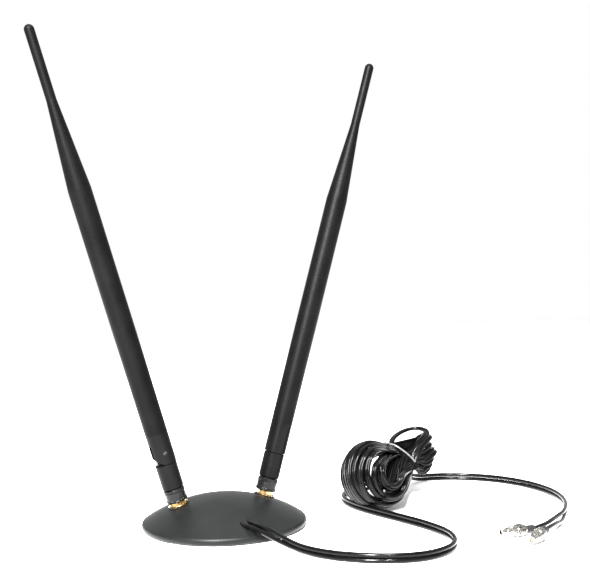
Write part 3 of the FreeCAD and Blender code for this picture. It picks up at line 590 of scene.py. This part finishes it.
def spline_curve(name, spots, radius, closed=False):
    """A round curve on a smooth NURBS line with these control points."""
    curve = bpy.data.curves.new(name, "CURVE")
    curve.dimensions = "3D"
    line = curve.splines.new("NURBS")
    line.points.add(len(spots) - 1)
    for point, spot in zip(line.points, spots):
        point.co = (*spot, 1)
    line.order_u = 3
    line.use_endpoint_u = not closed
    line.use_cyclic_u = closed
    line.resolution_u = 5
    curve.resolution_u = 5
    curve.bevel_depth = radius
    curve.bevel_resolution = 3
    curve.use_fill_caps = not closed
    return curve


def curve_mesh(curve):
    """A curve's tube as a plain smooth mesh."""
    carrier = bpy.data.objects.new("carrier", curve)
    bpy.context.scene.collection.objects.link(carrier)
    graph = bpy.context.evaluated_depsgraph_get()
    mesh = bpy.data.meshes.new_from_object(carrier.evaluated_get(graph))
    bpy.data.objects.remove(carrier)
    mesh.shade_smooth()
    return mesh


def line_length(spots):
    """Length of the smooth line through the control points' NURBS spline."""
    mesh = curve_mesh(spline_curve("measure", spots, 0.0))
    corners = [[mesh.vertices[k].co for k in edge.vertices] for edge in mesh.edges]
    return sum((a - b).length for a, b in corners)


# ---------------------------------------------------------------- settings

class AntennaSettings(bpy.types.PropertyGroup):
    """Sizes of the trim and the leads."""
    lead_diameter: bpy.props.FloatProperty(
        name="Lead diameter", description="Outer diameter of one lead of the twin", default=2.6 * MM,
        unit="LENGTH")
    lead_pitch: bpy.props.FloatProperty(
        name="Lead pitch", description="Distance between the middles of the two leads, in millimetres",
        default=2.6)
    lead_length: bpy.props.FloatProperty(
        name="Lead length", description="Length of each lead from dome to plug", default=3.1, unit="LENGTH")
    knurl_count: bpy.props.IntProperty(
        name="Knurl count", description="Ridges of each hand round a coupling nut", default=22, min=8)
    knurl_depth: bpy.props.FloatProperty(
        name="Knurl ridge", description="Radius of one knurl ridge", default=0.36 * MM, unit="LENGTH")
    washer_teeth: bpy.props.IntProperty(
        name="Washer teeth", description="Teeth round a jack's lock washer", default=18, min=6)
    floor_colour: bpy.props.FloatVectorProperty(
        name="Floor colour", description="Colour of the plain floor", size=4, subtype="COLOR",
        default=hex_colour("#fbfbfb"))


def settings():
    """The antenna's settings in this scene."""
    return bpy.context.scene.antenna_settings


# ---------------------------------------------------------------- operators

class AntennaStage(bpy.types.Operator):
    """Floor, soft lights and the camera"""
    bl_idname = "antenna.stage"
    bl_label = "Stage"

    def execute(self, context):
        scene = context.scene
        scene.view_settings.view_transform = "Standard"
        world = bpy.data.worlds.new("studio")
        world.use_nodes = True
        backdrop = world.node_tree.nodes["Background"]
        backdrop.inputs["Color"].default_value = (1, 1, 1, 1)
        backdrop.inputs["Strength"].default_value = 1.0
        scene.world = world

        mesh = bpy.data.meshes.new("floor")
        corners = [(x * FLOOR_HALF, y * FLOOR_HALF, 0) for x, y in ((-1, -1), (1, -1), (1, 1), (-1, 1))]
        mesh.from_pydata(corners, [], [range(4)])
        floor = bpy.data.objects.new("floor", mesh)
        floor.location = (0, 0, -FLOOR_DROP)
        scene.collection.objects.link(floor)
        material, tree, surface, place = new_material(
            "seamless_paper", tuple(settings().floor_colour), Roughness=0.9, Specular_IOR_Level=0.1)
        fibres = grain(tree, place, 60 * MM, 3)
        tree.links.new(tinted(tree, fibres, "#f6f6f6", "#ffffff"), surface.inputs["Base Color"])
        mesh.materials.append(material)

        for light in LIGHTS:
            self.softbox(scene, *light)

        camera = bpy.data.cameras.new("camera")
        camera.lens = CAMERA_LENS
        camera.sensor_width = CAMERA_SENSOR
        camera.clip_start = CAMERA_NEAR
        seen = bpy.data.objects.new("camera", camera)
        level = math.cos(CAMERA_TILT)
        ahead = Vector((math.sin(CAMERA_TURN) * level, math.cos(CAMERA_TURN) * level, math.sin(CAMERA_TILT)))
        right = Vector((math.cos(CAMERA_TURN), -math.sin(CAMERA_TURN), 0))
        up = right.cross(ahead)
        rolled_right = right * math.cos(CAMERA_ROLL) + up * math.sin(CAMERA_ROLL)
        rolled_up = up * math.cos(CAMERA_ROLL) - right * math.sin(CAMERA_ROLL)
        columns = Matrix((rolled_right, rolled_up, -ahead)).transposed()
        seen.matrix_world = Matrix.Translation(CAMERA_PLACE) @ columns.to_4x4()
        scene.collection.objects.link(seen)
        scene.camera = seen
        return {"FINISHED"}

    def softbox(self, scene, name, place, target, size, power):
        """A rectangular light at place that faces its target."""
        lamp = bpy.data.lights.new(name, "AREA")
        lamp.shape = "RECTANGLE"
        lamp.size, lamp.size_y = size
        lamp.energy = power
        made = bpy.data.objects.new(name, lamp)
        made.location = place
        made.rotation_euler = (Vector(target) - Vector(place)).to_track_quat("-Z", "Y").to_euler()
        scene.collection.objects.link(made)


class AntennaFinishes(bpy.types.Operator):
    """Gives every carried-over node the finish of its slot"""
    bl_idname = "antenna.finishes"
    bl_label = "Finishes"

    def execute(self, context):
        for part in frame["record"]["subparts"]:
            node = frame["nodes"][part["node"]]
            if not node.material_slots:
                node.data.materials.append(None)
            for slot in node.material_slots:
                slot.material = finish(part["material_slot"])
        return {"FINISHED"}


class AntennaLeads(bpy.types.Operator):
    """The twin lead: two jackets side by side, through the hank to the two plugs"""
    bl_idname = "antenna.leads"
    bl_label = "Twin lead"

    def execute(self, context):
        sizes = settings()
        for side in SIDES:
            spots = lead_spots(side, sizes.lead_pitch)
            print(f"{side} lead: {line_length(spots):.3f} m along its line")
            curve = spline_curve(f"{side}_lead", spots, sizes.lead_diameter / 2)
            lead = new_piece(f"{side}_lead", curve, "lead_pvc", "base",
                             (f"{side}_lead_front", f"{side}_lead_back", "cord_hank"))
        return {"FINISHED"}


class AntennaTie(bpy.types.Operator):
    """The wire tie round the hank's waist, with its twisted ends"""
    bl_idname = "antenna.tie"
    bl_label = "Wire tie"

    def execute(self, context):
        middle = WAIST + TIE_SHIFT
        loop = []
        for k in range(TIE_POINTS):
            angle = math.tau * k / TIE_POINTS
            wide = TIE_HALF_WIDE * math.copysign(abs(math.cos(angle)) ** TIE_SQUARENESS, math.cos(angle))
            deep = TIE_HALF_DEEP * math.copysign(abs(math.sin(angle)) ** TIE_SQUARENESS, math.sin(angle))
            loop.append(hank_spot(middle + WAIST_SPREAD * wide + TIE_THROUGH * deep) * MM)
        joined = bmesh.new()
        joined.from_mesh(curve_mesh(spline_curve("loop", loop, TIE_RADIUS * MM, closed=True)))
        for hand in (0, math.pi):
            twist = []
            for k, reach in enumerate(TWIST_REACH):
                angle = hand + k * TWIST_ANGLE
                spot = middle - WAIST_SPREAD * (TIE_HALF_WIDE + TWIST_START + TWIST_STEP * k)
                spot += (FAN_WAY * math.cos(angle) + TIE_THROUGH * math.sin(angle)) * reach
                twist.append(hank_spot(spot) * MM)
            joined.from_mesh(curve_mesh(spline_curve("twist", twist, TWIST_RADIUS * MM)))
        new_piece("wire_tie", finished_mesh("wire_tie", joined, TIE_SMOOTH_ANGLE), "tie_wire", "base",
                  ("hank_tie",))
        return {"FINISHED"}


def angle_each(tree, count):
    """The angle of each point where count points share a full turn."""
    step = add(tree, "ShaderNodeMath", {1: count}, operation="DIVIDE")
    step.inputs[0].default_value = math.tau
    index = add(tree, "GeometryNodeInputIndex")
    return add(tree, "ShaderNodeMath", {0: index.outputs[0], 1: step.outputs[0]},
               operation="MULTIPLY").outputs[0]


def instances(tree, points, shape, rotation):
    """The shape on each of the points, turned by the rotation."""
    return add(tree, "GeometryNodeInstanceOnPoints", {
        "Points": points, "Instance": shape, "Rotation": rotation}).outputs[0]


def raised(tree, shape, height):
    """The shape moved up along Z."""
    lift = add(tree, "ShaderNodeCombineXYZ", {"Z": height})
    return add(tree, "GeometryNodeTransform", {"Geometry": shape, "Translation": lift.outputs[0]}).outputs[0]


def real_and_coated(tree, join, value, result):
    """What is joined, as real geometry in the tree's material, sent to its result."""
    real = add(tree, "GeometryNodeRealizeInstances", {"Geometry": join.outputs[0]})
    coat = add(tree, "GeometryNodeSetMaterial", {"Geometry": real.outputs[0], "Material": value["Material"]})
    tree.links.new(coat.outputs[0], result.inputs[0])


def knurl_tree():
    """Crossed helical ridges round the mesh that goes in: a diamond knurl."""
    tree, given, result = nodes_tree("diamond_knurl", {
        "Count": ("NodeSocketInt", 22), "Radius": ("NodeSocketFloat", 6.2 * MM),
        "Height": ("NodeSocketFloat", 5.6 * MM), "Low": ("NodeSocketFloat", 4.0 * MM),
        "Ridge": ("NodeSocketFloat", 0.36 * MM), "Material": ("NodeSocketMaterial", None)})
    value = given.outputs
    profile = add(tree, "GeometryNodeCurvePrimitiveCircle", {"Radius": value["Ridge"]}, Resolution=4)
    points = add(tree, "GeometryNodeMeshLine", {"Count": value["Count"]}, Offset=(0, 0, 0))
    turn = add(tree, "ShaderNodeCombineXYZ", {"Z": angle_each(tree, value["Count"])})
    join = add(tree, "GeometryNodeJoinGeometry", {"Geometry": value["Geometry"]})
    for reverse in (False, True):
        helix = add(tree, "GeometryNodeCurveSpiral", {
            "Start Radius": value["Radius"], "End Radius": value["Radius"], "Height": value["Height"]},
                    Resolution=8, Rotations=0.13, Reverse=reverse)
        bar = add(tree, "GeometryNodeCurveToMesh", {
            "Curve": helix.outputs[0], "Profile Curve": profile.outputs[0]}, Fill_Caps=True)
        ridge = raised(tree, bar.outputs[0], value["Low"])
        tree.links.new(instances(tree, points.outputs[0], ridge, turn.outputs[0]), join.inputs[0])
    real_and_coated(tree, join, value, result)
    return tree


def ring_tree(name, count, radius, level, size, twist=0.0):
    """Blocks in a ring round the mesh that goes in, each twisted about the way out from the axis.
    Sizes are in millimetres."""
    tree, given, result = nodes_tree(name, {
        "Count": ("NodeSocketInt", count), "Radius": ("NodeSocketFloat", radius * MM),
        "Level": ("NodeSocketFloat", level * MM), "Size": ("NodeSocketVector", [side * MM for side in size]),
        "Twist": ("NodeSocketFloat", twist), "Material": ("NodeSocketMaterial", None)})
    value = given.outputs
    circle = add(tree, "GeometryNodeMeshCircle", {"Vertices": value["Count"], "Radius": value["Radius"]})
    points = raised(tree, circle.outputs[0], value["Level"])
    block = add(tree, "GeometryNodeMeshCube", {"Size": value["Size"]})
    turn = add(tree, "ShaderNodeCombineXYZ", {"X": value["Twist"], "Z": angle_each(tree, value["Count"])})
    join = add(tree, "GeometryNodeJoinGeometry", {"Geometry": value["Geometry"]})
    tree.links.new(instances(tree, points, block.outputs[0], turn.outputs[0]), join.inputs[0])
    real_and_coated(tree, join, value, result)
    return tree


class AntennaCouplingNuts(bpy.types.Operator):
    """The two knurled coupling nuts under the whips"""
    bl_idname = "antenna.coupling_nuts"
    bl_label = "Coupling nuts"

    def execute(self, context):
        tree = knurl_tree()
        sizes = settings()
        for side in SIDES:
            core = turned_mesh("nut_core", NUT_OUTLINE)
            mesh = run_nodes(core, tree, {
                "Count": sizes.knurl_count, "Ridge": sizes.knurl_depth, "Material": finish("nut_black")},
                             jack_place(side))
            new_piece(f"{side}_knurled_nut", mesh, "nut_black", f"{side}_nut", (f"{side}_coupling_nut",))
        return {"FINISHED"}


class AntennaLockWashers(bpy.types.Operator):
    """The toothed lock washers under the jack nuts"""
    bl_idname = "antenna.lock_washers"
    bl_label = "Lock washers"

    def execute(self, context):
        tree = ring_tree("lock_washer_teeth", 18, 5.3, 0.65, (1.3, 1.0, 0.35), 0.5)
        for side in SIDES:
            ring = turned_mesh("washer_ring", WASHER_OUTLINE)
            mesh = run_nodes(ring, tree, {
                "Count": settings().washer_teeth, "Material": finish("gold_brass")}, jack_place(side))
            new_piece(f"{side}_lock_washer", mesh, "gold_brass", "base", (f"{side}_jack_washer",))
        return {"FINISHED"}


class AntennaPlugs(bpy.types.Operator):
    """The two push-on plugs with their ribbed grips"""
    bl_idname = "antenna.plugs"
    bl_label = "Plugs"

    def execute(self, context):
        tree = ring_tree("plug_ribs", 16, 3.3, 4.2, (0.5, 0.5, 3.4))
        for side in SIDES:
            shell = turned_mesh("plug_shell", PLUG_OUTLINE)
            mesh = run_nodes(shell, tree, {"Material": finish("nickel")}, plug_place(side))
            new_piece(f"{side}_plug", mesh, "nickel", "base", (f"{side}_lead_plug_shell",))
        return {"FINISHED"}


class AntennaPanel(bpy.types.Panel):
    """The antenna's sizes and steps, in the sidebar"""
    bl_idname = "VIEW3D_PT_antenna"
    bl_label = "Twin whip antenna"
    bl_space_type = "VIEW_3D"
    bl_region_type = "UI"
    bl_category = "Antenna"

    def draw(self, context):
        for name in AntennaSettings.__annotations__:
            self.layout.prop(context.scene.antenna_settings, name)
        for step in STEPS:
            self.layout.operator(step.bl_idname)


STEPS = (AntennaStage, AntennaFinishes, AntennaTie, AntennaPlugs, AntennaLeads, AntennaCouplingNuts,
         AntennaLockWashers)
CLASSES = (AntennaSettings, *STEPS, AntennaPanel)


def register():
    for item in CLASSES:
        bpy.utils.register_class(item)
    bpy.types.Scene.antenna_settings = bpy.props.PointerProperty(type=AntennaSettings)


def unregister():
    del bpy.types.Scene.antenna_settings
    for item in reversed(CLASSES):
        bpy.utils.unregister_class(item)


def main():
    register()
    for step in STEPS:
        group, name = step.bl_idname.split(".")
        getattr(getattr(bpy.ops, group), name)()


if __name__ == "__main__":
    main()
